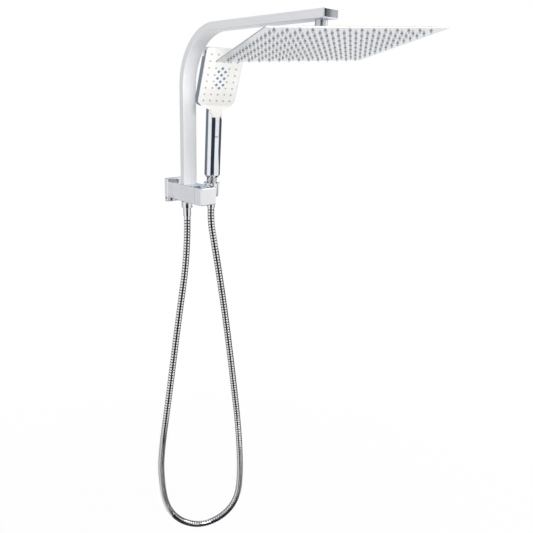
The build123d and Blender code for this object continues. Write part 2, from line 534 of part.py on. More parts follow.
# Hose route: straight down from the outlet, round a long hanging loop clear of the wall,
# and up to the holder, where its last run lies on the holder's axis
HOSE_LOOP = [
    (0, OUTLET_Y, FERRULE_END), (0, OUTLET_Y, -150), (-24, -43, -315), (-52, -35, -525),
    (-74, -26, -690), (-75, -26, -758), (-66, -29, -844), (-35, -42, -900), (18, -66, -930),
    (77, -92, -915), (114, -110, -864), (121, -113, -783), (117, -110, -660), (100, -105, -500),
    (79, -99, -325), (60.5, -96.5, -205), (47, -92.5, -118),
]
HOSE_LAST_RUN = 32
hose_last = leaning_plane(UPPER_FERRULE_END - HOSE_LAST_RUN).origin
hose_top = leaning_plane(UPPER_FERRULE_END).origin
hose_points = [Vector(*point) for point in HOSE_LOOP] + [hose_last, hose_top]

# Each bend is as large as its two runs allow
hose_radii = []
for before, here, after in zip(hose_points, hose_points[1:], hose_points[2:]):
    turn = math.radians((here - before).get_angle(after - here))
    shorter = min((here - before).length, (after - here).length)
    hose_radii.append(0.45 * shorter / math.tan(turn / 2))
print("hose bend radii", [round(r) for r in hose_radii])

with BuildLine() as hose_path:
    FilletPolyline(*hose_points, radius=hose_radii)
hose_wire = hose_path.wires()[0]
print("hose length", round(hose_wire.length, 1))

# Hose: wound steel ribs, plain for one diameter at each end, over a bore for the water
steady = Vector(0.4, 0.9, 0)


def hose_plane(distance):
    """Plane square to the hose at a distance along it."""
    share = distance / hose_wire.length
    return Plane(origin=hose_wire @ share, x_dir=steady, z_dir=hose_wire % share)


END_PLAIN = 2 * HOSE_R
rib_pitch = (hose_wire.length - 2 * END_PLAIN) / HOSE_RIBS
RIB_STEPS = [(0.0, HOSE_GROOVE_R), (0.18, HOSE_R), (0.72, HOSE_R), (0.9, HOSE_GROOVE_R)]
with BuildPart() as shower_hose:
    rings = [(0, HOSE_GROOVE_R)]
    for rib in range(HOSE_RIBS):
        rings += [(END_PLAIN + (rib + step) * rib_pitch, radius) for step, radius in RIB_STEPS]
    rings.append((hose_wire.length, HOSE_GROOVE_R))
    for distance, radius in rings:
        with BuildSketch(hose_plane(distance)):
            Circle(radius)
    loft(ruled=True)
    with BuildSketch(hose_plane(0)):
        Circle(HOSE_BORE_R)
    sweep(path=hose_wire, mode=Mode.SUBTRACT)
section = math.pi * (HOSE_R**2 - HOSE_BORE_R**2)
print("hose volume against full section", round(shower_hose.part.volume / (section * hose_wire.length), 3))

# Handset planes: side view with x to the front and y up, front view with x across and y up
handset_base = leaning_plane(yaw=HANDSET_YAW)
facing = -handset_base.y_dir
handset_side = Plane(origin=handset_base.origin, x_dir=facing, z_dir=-handset_base.x_dir)
handset_front = Plane(origin=handset_base.origin, x_dir=handset_base.x_dir, z_dir=facing)
face_sin, face_cos = math.sin(math.radians(FACE_LEAN)), math.cos(math.radians(FACE_LEAN))


def face_point(up, back=0):
    """Point of the side view at a height up the spray face and a depth behind it."""
    return (
        FACE_FRONT + up * face_sin - back * face_cos,
        FACE_Z + up * face_cos + back * face_sin,
    )


RIM = 1.8
FACE_T = 3
SHOULDER_R = 8
HANDLE_CHAMFER, HANDLE_BORE_R = (5, 4), 8
HANDSET_THREAD_R, HANDSET_INLET_TAIL, HANDSET_BORE_R = 10.2, 12, 6
face_top, face_low = face_point(FACE_UP), face_point(-FACE_DOWN)
chin = (HANDLE_R + 0.4, CHIN_Z)


def head_outline(inset):
    """Front view of the head: square shoulders on top, chamfered corners and a drawn-in neck."""
    half = FACE_HALF + RIM - inset
    low = face_low[1] - inset * 0.3
    top = face_point(FACE_UP + RIM - inset)[1]
    right = [(half, top), (half, low + 8), (half - 7, low + 0.5 + inset), (HANDLE_R, low - 8)]
    return right + [(-x, z) for x, z in reversed(right)]


# Spray face: off-white moulding that bends into a chin on the handle's front
with BuildPart() as handset_face:
    with BuildSketch(handset_front) as face_outline:
        Polygon(*head_outline(RIM), align=None)
        fillet(face_outline.vertices().group_by(Axis.Y)[-1], SHOULDER_R - RIM)
    extrude(amount=90, both=True)
    with BuildSketch(leaning_plane(CHIN_Z - 20, yaw=HANDSET_YAW)):
        Circle(HANDLE_R)
    extrude(amount=45)
    with BuildSketch(handset_side):
        with BuildLine():
            Polyline(
                face_point(FACE_UP + 5), face_low, chin,
                (chin[0] + 0.1, chin[1] - 0.3), (chin[0] - FACE_T, chin[1] - 0.3),
                (face_low[0] - FACE_T, face_low[1] + 0.5), face_point(FACE_UP + 5, FACE_T), close=True,
            )
        make_face()
    extrude(amount=60, both=True, mode=Mode.INTERSECT)

# Handset body: chromed handle and back shell in one moulding, open behind the face
with BuildPart() as handset_body:
    with BuildSketch(handset_front) as shell_outline:
        Polygon(*head_outline(0), align=None)
        fillet(shell_outline.vertices().group_by(Axis.Y)[-1], SHOULDER_R)
    extrude(amount=90, both=True)
    with BuildSketch(leaning_plane(HANDLE_BOTTOM, yaw=HANDSET_YAW)):
        Circle(HANDLE_R)
    extrude(amount=face_low[1] + 15 - HANDLE_BOTTOM)
    back_low = face_point(-FACE_DOWN - 20, HANDSET_THICK)
    with BuildSketch(handset_side):
        with BuildLine():
            Polyline(
                face_point(FACE_UP + RIM), face_low, chin,
                (HANDLE_R + 1, CHIN_Z), (HANDLE_R + 1, HANDLE_BOTTOM),
                (-HANDLE_R - 6, HANDLE_BOTTOM), (-HANDLE_R - 6, back_low[1]), back_low,
                face_point(FACE_UP + RIM, HANDSET_THICK), close=True,
            )
        make_face()
    extrude(amount=60, both=True, mode=Mode.INTERSECT)
    chamfer(handset_body.edges().group_by(Axis.Z)[0], *HANDLE_CHAMFER)
    add(handset_face.part, mode=Mode.SUBTRACT)
    with BuildSketch(leaning_plane(HANDLE_BOTTOM, yaw=HANDSET_YAW)):
        Circle(HANDLE_BORE_R)
    extrude(amount=CHIN_Z + 10 - HANDLE_BOTTOM, mode=Mode.SUBTRACT)
    with BuildSketch(handset_front.offset(10)):
        with Locations((0, BUTTON_Z)):
            RectangleRounded(BUTTON_W + 2 * FIT_GAP, BUTTON_L + 2 * FIT_GAP, BUTTON_ROUND + FIT_GAP)
    extrude(amount=12, mode=Mode.SUBTRACT)

# Inside the handle: threaded inlet at its foot and the water tube above it
with BuildPart() as handset_inlet:
    with BuildSketch(leaning_plane(WASHER_SEAT + WASHER_T)):
        Circle(HANDSET_THREAD_R)
    extrude(amount=HANDLE_BOTTOM - WASHER_SEAT - WASHER_T)
    with BuildSketch(leaning_plane(HANDLE_BOTTOM)):
        Circle(HANDLE_BORE_R)
    extrude(amount=HANDSET_INLET_TAIL)
    with Locations(leaning_plane(HANDLE_BOTTOM + HANDSET_INLET_TAIL)):
        Hole(HANDSET_BORE_R, depth=30)

with BuildPart() as handset_washer:
    with BuildSketch(leaning_plane(WASHER_SEAT)):
        Circle(HANDSET_THREAD_R)
        Circle(HANDSET_BORE_R, mode=Mode.SUBTRACT)
    extrude(amount=WASHER_T)

with BuildPart() as handset_water_tube:
    with BuildSketch(leaning_plane(HANDLE_BOTTOM + HANDSET_INLET_TAIL)):
        Circle(HANDLE_BORE_R)
        Circle(HANDSET_BORE_R, mode=Mode.SUBTRACT)
    extrude(amount=CHIN_Z - HANDLE_BOTTOM - HANDSET_INLET_TAIL)

# Push button: a rounded bar, crowned like the handle, with a spring in its back
BUTTON_BACK, BUTTON_PROUD = 12.6, 0.6
SPRING_R, SPRING_BORE_R, SPRING_POCKET_R, SPRING_POCKET = 2.8, 2.2, 3.2, 4
with BuildPart() as mode_button:
    with BuildSketch(handset_front.offset(BUTTON_BACK)):
        with Locations((0, BUTTON_Z)):
            RectangleRounded(BUTTON_W, BUTTON_L, BUTTON_ROUND)
    extrude(amount=10)
    with BuildSketch(leaning_plane(BUTTON_Z - BUTTON_L)):
        Circle(HANDLE_R + BUTTON_PROUD)
    extrude(amount=2 * BUTTON_L, mode=Mode.INTERSECT)
    with BuildSketch(handset_front.offset(BUTTON_BACK)):
        with Locations((0, BUTTON_Z)):
            Circle(SPRING_POCKET_R)
    extrude(amount=SPRING_POCKET, mode=Mode.SUBTRACT)

with BuildPart() as button_spring:
    with BuildSketch(handset_front.offset(BUTTON_BACK - 0.5)):
        with Locations((0, BUTTON_Z)):
            Circle(SPRING_R)
            Circle(SPRING_BORE_R, mode=Mode.SUBTRACT)
    extrude(amount=SPRING_POCKET + 0.5)

# Spray nozzles: a five by eight field, with the blue jet cluster in its middle
spray_plane = Plane(
    origin=handset_side.from_local_coords(Vector(*face_point(0))),
    x_dir=handset_base.x_dir,
    z_dir=facing * face_cos - handset_base.z_dir * face_sin,
)
SPRAY_COLS, SPRAY_ROWS = 5, 8
SPRAY_R, JET_R, SPRAY_H, SPRAY_TAPER = 1.8, 2.6, 1.2, 20
jet_spots = [(2, row) for row in range(2, 6)]
jet_spots += [(col, row + 0.5) for row in range(2, 5) for col in (1.5, 2.5)]
spray_spots = [(col, row) for row in range(SPRAY_ROWS) for col in range(SPRAY_COLS)]
spray_spots = [spot for spot in spray_spots if spot not in jet_spots]


def spray_place(col, row):
    """Place of a nozzle on the spray face, counted from the upper left."""
    return ((col - (SPRAY_COLS - 1) / 2) * SPRAY_PITCH, ((SPRAY_ROWS - 1) / 2 - row) * SPRAY_PITCH)


with BuildPart() as handset_nozzles:
    with BuildSketch(spray_plane):
        with Locations(*[spray_place(*spot) for spot in spray_spots]):
            RegularPolygon(SPRAY_R, 6)
    extrude(amount=SPRAY_H, taper=SPRAY_TAPER)

with BuildPart() as handset_jets:
    with BuildSketch(spray_plane):
        with Locations(*[spray_place(*spot) for spot in jet_spots]):
            RegularPolygon(JET_R, 8)
    extrude(amount=SPRAY_H, taper=SPRAY_TAPER)

pieces = {
    "wall_flange": wall_flange,
    "flange_grub_screw": flange_grub_screw,
    "diverter_body": diverter_body,
    "inlet_washer": inlet_washer,
    "cartridge_seal": cartridge_seal,
    "cartridge_housing": cartridge_housing,
    "fixed_disc": fixed_disc,
    "moving_disc": moving_disc,
    "diverter_spindle": diverter_spindle,
    "cartridge_nut": cartridge_nut,
    "diverter_knob": diverter_knob,
    "knob_grub_screw": knob_grub_screw,
    "column_spigot": column_spigot,
    "column_seal": column_seal,
    "column_arm": column_arm,
    "column_fixing_screw": column_fixing_screw,
    "arm_end_cap": arm_end_cap,
    "arm_outlet_nipple": arm_outlet_nipple,
    "ball_stem": ball_stem,
    "ball_stem_washer": ball_stem_washer,
    "ball_seat_ring": ball_seat_ring,
    "rain_head_boss": rain_head_boss,
    "swivel_collar": swivel_collar,
    "rain_head_top_plate": rain_head_top_plate,
    "rain_head_face_plate": rain_head_face_plate,
    "rain_nozzles": rain_nozzles,
    "handset_holder": handset_holder,
    "holder_screw": holder_screw,
    "hose_outlet_nipple": hose_outlet_nipple,
    "hose_outlet_washer": hose_outlet_washer,
    "hose_outlet_nut": hose_outlet_nut,
    "hose_ferrule_lower": hose_ferrule_lower,
    "shower_hose": shower_hose,
    "hose_ferrule_upper": hose_ferrule_upper,
    "hose_cone_nut": hose_cone_nut,
    "handset_washer": handset_washer,
    "handset_inlet": handset_inlet,
    "handset_water_tube": handset_water_tube,
    "handset_body": handset_body,
    "handset_face": handset_face,
    "handset_nozzles": handset_nozzles,
    "handset_jets": handset_jets,
    "mode_button": mode_button,
    "button_spring": button_spring,
}
for node, piece in pieces.items():
    piece.part.label = node
    export_step(piece.part, f"parts/{node}.step")
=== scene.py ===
import json
import math

import bpy
from mathutils import Matrix, Vector


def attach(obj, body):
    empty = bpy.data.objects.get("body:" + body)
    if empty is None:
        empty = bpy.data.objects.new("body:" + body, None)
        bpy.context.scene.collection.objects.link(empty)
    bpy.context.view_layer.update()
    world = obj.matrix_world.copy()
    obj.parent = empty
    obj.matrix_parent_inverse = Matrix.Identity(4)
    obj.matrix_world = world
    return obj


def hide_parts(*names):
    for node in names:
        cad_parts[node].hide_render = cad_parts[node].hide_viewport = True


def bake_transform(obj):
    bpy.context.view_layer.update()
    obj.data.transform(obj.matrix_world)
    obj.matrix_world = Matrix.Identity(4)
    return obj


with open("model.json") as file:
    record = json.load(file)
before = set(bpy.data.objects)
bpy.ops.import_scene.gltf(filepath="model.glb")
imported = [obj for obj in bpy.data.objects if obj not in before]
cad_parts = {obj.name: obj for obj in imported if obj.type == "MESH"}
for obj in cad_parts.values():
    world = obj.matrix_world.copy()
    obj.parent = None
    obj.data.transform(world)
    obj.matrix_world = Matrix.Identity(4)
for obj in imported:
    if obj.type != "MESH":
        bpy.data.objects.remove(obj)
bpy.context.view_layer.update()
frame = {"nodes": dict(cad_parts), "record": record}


# Wall flange: a square brass casting that covers the pipe in the wall.
# It is polished all over and chrome plated, and one grub screw in its side locks it.
def hex_colour(code):
    """Linear colour of an sRGB hex value."""
    parts = [int(code[i:i + 2], 16) / 255 for i in (1, 3, 5)]
    return [p / 12.92 if p <= 0.04045 else ((p + 0.055) / 1.055) ** 2.4 for p in parts] + [1]


def add(material, kind, inputs=None, **settings):
    """A new node of a material, with its settings, values and links."""
    new = material.node_tree.nodes.new("ShaderNode" + kind)
    for name, value in settings.items():
        setattr(new, name, value)
    for socket, value in (inputs or {}).items():
        if isinstance(value, bpy.types.NodeSocket):
            material.node_tree.links.new(value, new.inputs[socket])
        else:
            new.inputs[socket].default_value = value
    return new


def new_finish(name):
    """An empty material with its coordinates, and the surface still to come."""
    finish = bpy.data.materials.new(name)
    finish.use_nodes = True
    finish.node_tree.nodes.clear()
    return finish, add(finish, "TexCoord").outputs["Object"]


def chrome_plate(name, bright, dull, ripple_mm, blur):
    """Chrome plate: a mirror, as soft as its blur, with faint ripples and a haze of dried water."""
    finish, place = new_finish(name)
    ripple = add(finish, "TexNoise", {"Vector": place, "Scale": 1000 / ripple_mm, "Detail": 2})
    haze = add(finish, "TexNoise", {"Vector": place, "Scale": 1000 / 35, "Detail": 5})
    tone = add(finish, "ValToRGB", {"Fac": haze.outputs["Fac"]})
    tone.color_ramp.elements[0].color = hex_colour(dull)
    tone.color_ramp.elements[0].position = 0.35
    tone.color_ramp.elements[1].color = hex_colour(bright)
    tone.color_ramp.elements[1].position = 0.6
    gloss = add(finish, "MapRange", {"Value": haze.outputs["Fac"], "From Min": 0.3, "From Max": 0.7,
                                     "To Min": blur + 0.05, "To Max": blur})
    bump = add(finish, "Bump", {"Height": ripple.outputs["Fac"], "Strength": 0.03, "Distance": 0.0003})
    shader = add(finish, "BsdfPrincipled", {"Base Color": tone.outputs["Color"], "Metallic": 1,
                                            "Roughness": gloss.outputs["Result"], "Normal": bump.outputs["Normal"]})
    add(finish, "OutputMaterial", {"Surface": shader.outputs["BSDF"]})
    return finish


def body_of(node):
    """Name of the body that carries a node."""
    return next(b for b, members in frame["record"]["behaviour"]["bodies"].items() if node in members)


MERGE_M, FLAT_DEG, CORNER_DEG, SMOOTH_DEG = 0.000002, 0.2, 35, 32


def polished(node, finish, edge_mm=0.0):
    """A piece after polishing: its curves smooth, its flats flat and its sharp edges a little rounded."""
    bpy.ops.object.select_all(action="DESELECT")
    piece = bpy.data.objects.new(node + "_polished", frame["nodes"][node].data.copy())
    bpy.context.scene.collection.objects.link(piece)
    piece.select_set(True)
    bpy.context.view_layer.objects.active = piece
    if piece.data.has_custom_normals:
        bpy.ops.mesh.customdata_custom_splitnormals_clear()
    bpy.ops.object.mode_set(mode="EDIT")
    bpy.ops.mesh.select_all(action="SELECT")
    bpy.ops.mesh.remove_doubles(threshold=MERGE_M)
    bpy.ops.mesh.dissolve_limited(angle_limit=math.radians(FLAT_DEG))
    bpy.ops.object.mode_set(mode="OBJECT")
    if edge_mm:
        soft = piece.modifiers.new("edges", "BEVEL")
        soft.width = edge_mm / 1000
        soft.segments = 2
        soft.limit_method = "ANGLE"
        soft.angle_limit = math.radians(CORNER_DEG)
        bpy.ops.object.modifier_apply(modifier="edges")
    bpy.ops.object.shade_smooth_by_angle(angle=math.radians(SMOOTH_DEG))
    flats = piece.modifiers.new("flats", "WEIGHTED_NORMAL")
    flats.keep_sharp = True
    bpy.ops.object.modifier_apply(modifier="flats")
    piece.data.materials.clear()
    piece.data.materials.append(finish)
    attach(piece, body_of(node))
    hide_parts(node)
    return piece


cast_chrome = chrome_plate("chrome_plated_casting", "#e8e9ec", "#e4e5e9", 14, 0.05)
polished("wall_flange", cast_chrome)


# Grub screws: black-oxide alloy steel, with a hexagon socket.
# The oxide leaves them nearly matt, with an oily sheen on the turned ends.
def paint(finish, *nodes):
    """Pieces whose solids stay as they are, in their finish."""
    for node in nodes:
        frame["nodes"][node].data.materials.clear()
        frame["nodes"][node].data.materials.append(finish)


black_oxide, place = new_finish("black_oxide_steel")
oil = add(black_oxide, "TexNoise", {"Vector": place, "Scale": 1000 / 1.5, "Detail": 3})
shade = add(black_oxide, "ValToRGB", {"Fac": oil.outputs["Fac"]})
shade.color_ramp.elements[0].color = hex_colour("#1d1e21")
shade.color_ramp.elements[1].color = hex_colour("#34363b")
sheen = add(black_oxide, "MapRange", {"Value": oil.outputs["Fac"], "To Min": 0.3, "To Max": 0.5})
steel = add(black_oxide, "BsdfPrincipled", {"Base Color": shade.outputs["Color"], "Metallic": 0.8,
                                            "Roughness": sheen.outputs["Result"]})
add(black_oxide, "OutputMaterial", {"Surface": steel.outputs["BSDF"]})
paint(black_oxide, "flange_grub_screw", "knob_grub_screw", "column_fixing_screw", "holder_screw")

# Diverter body: square brass bar, drilled for the water ways, polished and plated.
# Its long edges are only broken, so that they draw a thin bright line.
bar_chrome = chrome_plate("chrome_plated_bar", "#e8e8ea", "#e3e4e7", 20, 0.05)
polished("diverter_body", bar_chrome, 0.3)

# Inner fittings: turned brass with fine tool marks about a third of a millimetre apart.
# They are drawn three times as coarse, because finer rings wouldn't show.
turned_brass, place = new_finish("turned_brass")
tooling = add(turned_brass, "TexWave", {"Vector": place, "Scale": 1000 / 1.0 / 20, "Distortion": 0.6},
              bands_direction="Y")
shade = add(turned_brass, "ValToRGB", {"Fac": tooling.outputs["Fac"]})
shade.color_ramp.elements[0].color = hex_colour("#b08a48")
shade.color_ramp.elements[1].color = hex_colour("#d8b673")
marks = add(turned_brass, "Bump", {"Height": tooling.outputs["Fac"], "Strength": 0.2, "Distance": 0.0001})
brass = add(turned_brass, "BsdfPrincipled", {"Base Color": shade.outputs["Color"], "Metallic": 1,
                                             "Roughness": 0.28, "Normal": marks.outputs["Normal"]})
add(turned_brass, "OutputMaterial", {"Surface": brass.outputs["BSDF"]})
paint(turned_brass, "column_spigot", "diverter_spindle", "cartridge_nut")

# Washers and seals: black nitrile rubber, moulded, with a dusty bloom.
# The bloom is a fine speckle of half a millimetre.
nitrile, place = new_finish("black_nitrile_rubber")
bloom = add(nitrile, "TexNoise", {"Vector": place, "Scale": 1000 / 0.5, "Detail": 4})
shade = add(nitrile, "ValToRGB", {"Fac": bloom.outputs["Fac"]})
shade.color_ramp.elements[0].color = hex_colour("#151515")
shade.color_ramp.elements[1].color = hex_colour("#2b2b2a")
rubber = add(nitrile, "BsdfPrincipled", {"Base Color": shade.outputs["Color"], "Roughness": 0.7})
add(nitrile, "OutputMaterial", {"Surface": rubber.outputs["BSDF"]})
paint(nitrile, "inlet_washer", "cartridge_seal", "column_seal", "ball_stem_washer", "hose_outlet_washer",
      "handset_washer")

# Cartridge housing and ball seat: natural acetal, moulded, a milky white with a soft gloss.
# The handset's inlet and water tube are of the same kind.
acetal, place = new_finish("natural_acetal")
flow = add(acetal, "TexNoise", {"Vector": place, "Scale": 1000 / 4, "Detail": 3})
shade = add(acetal, "ValToRGB", {"Fac": flow.outputs["Fac"]})
shade.color_ramp.elements[0].color = hex_colour("#d9d8d0")
shade.color_ramp.elements[1].color = hex_colour("#e9e8e2")
grain = add(acetal, "Bump", {"Height": flow.outputs["Fac"], "Strength": 0.1, "Distance": 0.0001})
milky = add(acetal, "BsdfPrincipled", {"Base Color": shade.outputs["Color"], "Roughness": 0.38, "IOR": 1.48,
                                       "Normal": grain.outputs["Normal"]})
add(acetal, "OutputMaterial", {"Surface": milky.outputs["BSDF"]})
paint(acetal, "cartridge_housing", "ball_seat_ring", "handset_inlet", "handset_water_tube")

# Diverter discs: lapped alumina ceramic, off-white and satin, with lapping swirls.
# One is fixed in the housing, and the other turns with the spindle.
alumina, place = new_finish("lapped_alumina")
swirl = add(alumina, "TexNoise", {"Vector": place, "Scale": 1000 / 1.2, "Detail": 4, "Distortion": 1.5})
shade = add(alumina, "ValToRGB", {"Fac": swirl.outputs["Fac"]})
shade.color_ramp.elements[0].color = hex_colour("#e4e2da")
shade.color_ramp.elements[1].color = hex_colour("#f2f0ea")
lapped = add(alumina, "BsdfPrincipled", {"Base Color": shade.outputs["Color"], "Roughness": 0.22, "IOR": 1.76})
add(alumina, "OutputMaterial", {"Surface": lapped.outputs["BSDF"]})
paint(alumina, "fixed_disc", "moving_disc")

# Diverter knob: a block of the same square bar, its front edges rounded for the hand.
# It stands half a millimetre off the body, which draws the dark seam.
polished("diverter_knob", bar_chrome)

# Column and arm: flat brass tube, bent in one piece, brushed along its length and plated.
# The brush lines follow the bend, drawn a few millimetres apart so that they show, and leave it satin.
# A mirror-bright cap closes its end.
BEND_Y, BEND_Z = -0.180, 0.238
arm_chrome, place = new_finish("brushed_chrome_tube")
xyz = add(arm_chrome, "SeparateXYZ", {"Vector": place})
ahead_of_bend = add(arm_chrome, "Math", {0: xyz.outputs["Y"], 1: -BEND_Y}, operation="ADD")
above_bend = add(arm_chrome, "Math", {0: xyz.outputs["Z"], 1: -BEND_Z}, operation="ADD")
on_column = add(arm_chrome, "Math", {0: ahead_of_bend.outputs["Value"], 1: 0}, operation="MAXIMUM")
on_arm = add(arm_chrome, "Math", {0: above_bend.outputs["Value"], 1: 0}, operation="MAXIMUM")
legs = add(arm_chrome, "CombineXYZ", {"X": on_column.outputs["Value"], "Y": on_arm.outputs["Value"]})
from_bend = add(arm_chrome, "VectorMath", {0: legs.outputs["Vector"]}, operation="LENGTH")
section = add(arm_chrome, "CombineXYZ", {"X": xyz.outputs["X"], "Y": from_bend.outputs["Value"]})
brush = add(arm_chrome, "TexNoise", {"Vector": section.outputs["Vector"], "Scale": 1000 / 4, "Detail": 3})
shade = add(arm_chrome, "ValToRGB", {"Fac": brush.outputs["Fac"]})
shade.color_ramp.elements[0].color = hex_colour("#dfe0e3")
shade.color_ramp.elements[0].position = 0.3
shade.color_ramp.elements[1].color = hex_colour("#eaebec")
shade.color_ramp.elements[1].position = 0.7
gloss = add(arm_chrome, "MapRange", {"Value": brush.outputs["Fac"], "To Min": 0.42, "To Max": 0.30})
tube = add(arm_chrome, "BsdfPrincipled", {"Base Color": shade.outputs["Color"], "Metallic": 0.15,
                                          "Roughness": gloss.outputs["Result"]})
add(arm_chrome, "OutputMaterial", {"Surface": tube.outputs["BSDF"]})
polished("column_arm", arm_chrome)
cap_chrome = chrome_plate("chrome_plated_cap", "#e6e6ea", "#e2e2e6", 30, 0.02)
polished("arm_end_cap", cap_chrome)

# Outlet nipple, ball joint and boss: turned brass fittings, chromed.
# The nipple is brazed under the arm, and the collar screws down over the ball.
# The ball's stem is plated too, because it shows in the gap above the collar.
fitting_chrome = chrome_plate("chrome_plated_fitting", "#e4e5e8", "#dfe0e3", 8, 0.03)
# The nipple's plate is drawn darker than the other fittings', a painted shade under the arm, and rougher.
nipple_shaded_chrome = chrome_plate("chrome_nipple_painted_shade", "#c3c7cb", "#b3b7bc", 6, 0.14)
polished("arm_outlet_nipple", nipple_shaded_chrome, 0.2)
for fitting in ("swivel_collar", "rain_head_boss"):
    polished(fitting, fitting_chrome, 0.2)
paint(fitting_chrome, "ball_stem")

# Rain head: two polished stainless sheets, welded round their edge, which is trimmed and left dull.
# The polishing belt leaves fine lines, drawn a few millimetres apart so that they show, and a soft mirror.
HEAD_YAW, HEAD_TILT = math.radians(-22.5), math.radians(-7.2)
BALL = Vector((0, -0.4672, 0.329))
head_normal = Vector((0, -math.sin(HEAD_TILT), math.cos(HEAD_TILT)))
head_across = Vector((math.cos(HEAD_YAW), math.sin(HEAD_YAW) * math.cos(HEAD_TILT),
                      math.sin(HEAD_YAW) * math.sin(HEAD_TILT)))
head_along = head_normal.cross(head_across)
head_axes = Matrix((head_across, head_along, head_normal)).transposed()
head_place = Matrix.Translation(BALL) @ head_axes.to_4x4()

mirror_steel, place = new_finish("mirror_polished_stainless")
along_head = add(mirror_steel, "Mapping", {"Vector": place, "Rotation": (0, 0, HEAD_YAW), "Scale": (1, 33, 1)},
                 vector_type="TEXTURE")
lines = add(mirror_steel, "TexNoise", {"Vector": along_head.outputs["Vector"], "Scale": 1000 / 3, "Detail": 3})
shade = add(mirror_steel, "ValToRGB", {"Fac": lines.outputs["Fac"]})
shade.color_ramp.elements[0].color = hex_colour("#d2d6dd")
shade.color_ramp.elements[0].position = 0.3
shade.color_ramp.elements[1].color = hex_colour("#dde1e8")
shade.color_ramp.elements[1].position = 0.7
gloss = add(mirror_steel, "MapRange", {"Value": lines.outputs["Fac"], "To Min": 0.16, "To Max": 0.24})
sheet = add(mirror_steel, "BsdfPrincipled", {"Base Color": shade.outputs["Color"], "Metallic": 1,
                                             "Roughness": gloss.outputs["Result"]})
add(mirror_steel, "OutputMaterial", {"Surface": sheet.outputs["BSDF"]})
trimmed_edge, place = new_finish("trimmed_steel_edge")
cuts = add(trimmed_edge, "TexNoise", {"Vector": place, "Scale": 1000 / 2, "Detail": 3})
shade = add(trimmed_edge, "ValToRGB", {"Fac": cuts.outputs["Fac"]})
shade.color_ramp.elements[0].color = hex_colour("#d3cfc8")
shade.color_ramp.elements[1].color = hex_colour("#e2dfd9")
rim = add(trimmed_edge, "BsdfPrincipled", {"Base Color": shade.outputs["Color"], "Metallic": 0.5,
                                           "Roughness": 0.5})
add(trimmed_edge, "OutputMaterial", {"Surface": rim.outputs["BSDF"]})
for plate in ("rain_head_top_plate", "rain_head_face_plate"):
    sheet_piece = polished(plate, mirror_steel, 0.25)
    sheet_piece.data.materials.append(trimmed_edge)
    for face in sheet_piece.data.polygons:
        face.material_index = 1 if abs(face.normal.dot(head_normal)) < 0.5 else 0

# Rain nozzles: soft grey silicone tips, pushed through the face sheet from inside.
# Each has a collar on the sheet, a tapered tip and a drilled hole that can be rubbed clean.
PLATE_BOTTOM, NOZZLE_PITCH, NOZZLE_ROWS = -0.0215, 0.020, 14
NOZZLE_COLLAR_R, NOZZLE_TIP_R, NOZZLE_LENGTH, NOZZLE_SMOOTH_DEG = 0.0024, 0.0011, 0.0045, 40
first_nozzle = -NOZZLE_PITCH * (NOZZLE_ROWS - 1) / 2


def silicone(name, dark, light):
    """Moulded silicone rubber: satin, a little dusty, its tone mottled every two millimetres."""
    finish, place = new_finish(name)
    dust = add(finish, "TexNoise", {"Vector": place, "Scale": 1000 / 2, "Detail": 4})
    tone = add(finish, "ValToRGB", {"Fac": dust.outputs["Fac"]})
    tone.color_ramp.elements[0].color = hex_colour(dark)
    tone.color_ramp.elements[1].color = hex_colour(light)
    soft = add(finish, "BsdfPrincipled", {"Base Color": tone.outputs["Color"], "Roughness": 0.45, "IOR": 1.41})
    add(finish, "OutputMaterial", {"Surface": soft.outputs["BSDF"]})
    return finish


def nozzle(name, x, y, collar, tip, length, sides):
    """One nozzle, pointing down from z = 0: collar, taper, and a blind hole in the tip."""
    bpy.ops.object.select_all(action="DESELECT")
    bpy.ops.mesh.primitive_circle_add(vertices=sides, radius=collar, fill_type="NGON", location=(x, y, 0))
    piece = bpy.context.object
    piece.name = name
    bpy.ops.object.transform_apply(location=True, rotation=True, scale=True)
    bpy.ops.object.mode_set(mode="EDIT")
    bpy.ops.mesh.select_all(action="SELECT")
    bpy.ops.mesh.extrude_region_move(TRANSFORM_OT_translate={"value": (0, 0, -0.15 * length)})
    bpy.ops.mesh.inset(thickness=0.12 * collar)
    bpy.ops.mesh.extrude_region_move(TRANSFORM_OT_translate={"value": (0, 0, -0.85 * length)})
    narrow = tip / (0.88 * collar)
    bpy.ops.transform.resize(value=(narrow, narrow, 1), center_override=(x, y, -length))
    bpy.ops.mesh.inset(thickness=0.45 * tip)
    bpy.ops.mesh.extrude_region_move(TRANSFORM_OT_translate={"value": (0, 0, 0.4 * length)})
    bpy.ops.mesh.select_all(action="SELECT")
    bpy.ops.mesh.normals_make_consistent(inside=False)
    bpy.ops.object.mode_set(mode="OBJECT")
    return piece


# One silicone is drawn in two tones: a darker grey, painted shade where the nozzle meets the sheet, and a paler
# tip, painted light under the head.
nozzle_shaded_collar = silicone("grey_silicone", "#9c9d98", "#b2b3ae")
nozzle_lit_tip = silicone("grey_silicone_tip", "#e2e2de", "#eeeeeb")
rain_tips = nozzle("rain_nozzle_tips", first_nozzle, first_nozzle, NOZZLE_COLLAR_R, NOZZLE_TIP_R,
                   NOZZLE_LENGTH, 10)
rain_tips.data.materials.append(nozzle_shaded_collar)
rain_tips.data.materials.append(nozzle_lit_tip)
